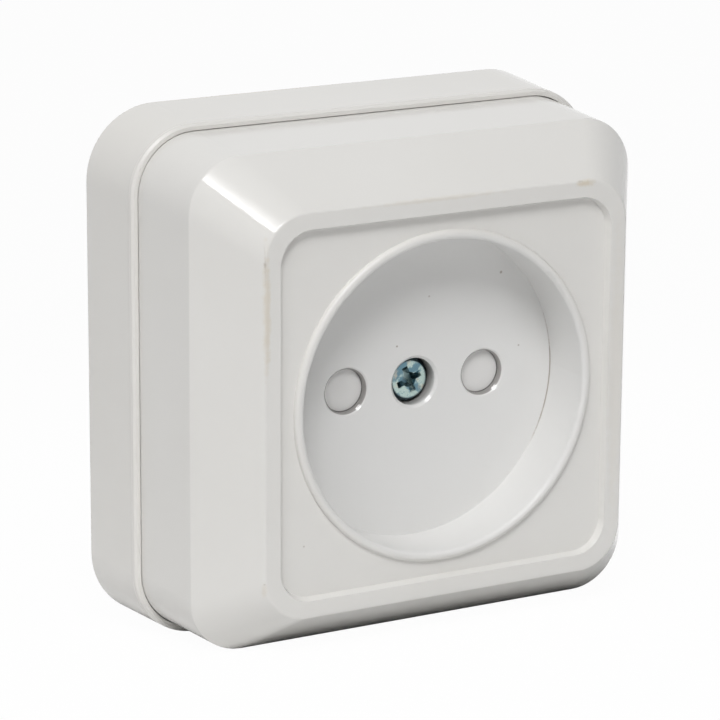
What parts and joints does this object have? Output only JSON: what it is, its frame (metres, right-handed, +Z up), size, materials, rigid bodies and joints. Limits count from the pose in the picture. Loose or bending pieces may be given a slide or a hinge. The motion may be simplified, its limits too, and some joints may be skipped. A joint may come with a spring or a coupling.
{
  "type": "power socket",
  "caption": "Square surface-mounted socket outlet for round two-pin plugs: sloped cover, sunk panel, raised rim and round well with shuttered pin holes.",
  "frame": {"origin": "centre of the base's flat back face, where it meets the wall", "axes": "+Y into the wall, -Y out to the user, +Z up, +X to the user's right"},
  "size_m": [0.065, 0.032, 0.065],
  "materials": {
    "white_plastic": "glossy moulded, slightly warm white",
    "shutter_plastic": "plain light grey moulding",
    "block_plastic": "plain moulding",
    "brass": "pressed strip",
    "spring_steel": "bright spring steel",
    "zinc_steel": "bluish zinc plate"
  },
  "bodies": {
    "socket": {"base": "white_plastic", "front_cover": "white_plastic", "shutter_spring": "spring_steel", "shutter_retainer": "block_plastic", "cover_screw": "zinc_steel", "cover_nut": "zinc_steel", "contact_block": "block_plastic", "block_lid": "block_plastic", "block_screws": "zinc_steel", "left_contact": "brass", "left_contact_clip": "spring_steel", "left_terminal_nut": "brass", "right_contact": "brass", "right_contact_clip": "spring_steel", "right_terminal_nut": "brass"},
    "shutter": {"shutter": "shutter_plastic"},
    "left_clamp": {"left_saddle": "zinc_steel"},
    "left_screw": {"left_terminal_screw": "zinc_steel"},
    "right_clamp": {"right_saddle": "zinc_steel"},
    "right_screw": {"right_terminal_screw": "zinc_steel"}
  },
  "joints": [
    {"name": "shutter_turn", "type": "hinge", "parent": "socket", "child": "shutter", "pos_m": [0, -0.02, 0], "axis": [0, -1, 0], "range_deg": [0, 42], "stiffness_Nm_per_rad": 0.0008, "springref_deg": -20.05, "deforming": ["shutter_spring"]},
    {"name": "left_saddle_lift", "type": "slide", "parent": "socket", "child": "left_clamp", "axis": [0, -1, 0], "range_m": [0, 0.0025]},
    {"name": "left_screw_turn", "type": "hinge", "parent": "left_clamp", "child": "left_screw", "pos_m": [-0.019, -0.011, 0], "axis": [0, -1, 0], "range_deg": [0, 1500]},
    {"name": "right_saddle_lift", "type": "slide", "parent": "socket", "child": "right_clamp", "axis": [0, -1, 0], "range_m": [0, 0.0025]},
    {"name": "right_screw_turn", "type": "hinge", "parent": "right_clamp", "child": "right_screw", "pos_m": [0.019, -0.011, 0], "axis": [0, -1, 0], "range_deg": [0, 1500]}
  ],
  "couplings": [
    {"joint": "left_screw_turn", "follows": "left_saddle_lift", "rad_per_m": 10472},
    {"joint": "right_screw_turn", "follows": "right_saddle_lift", "rad_per_m": 10472}
  ]
}
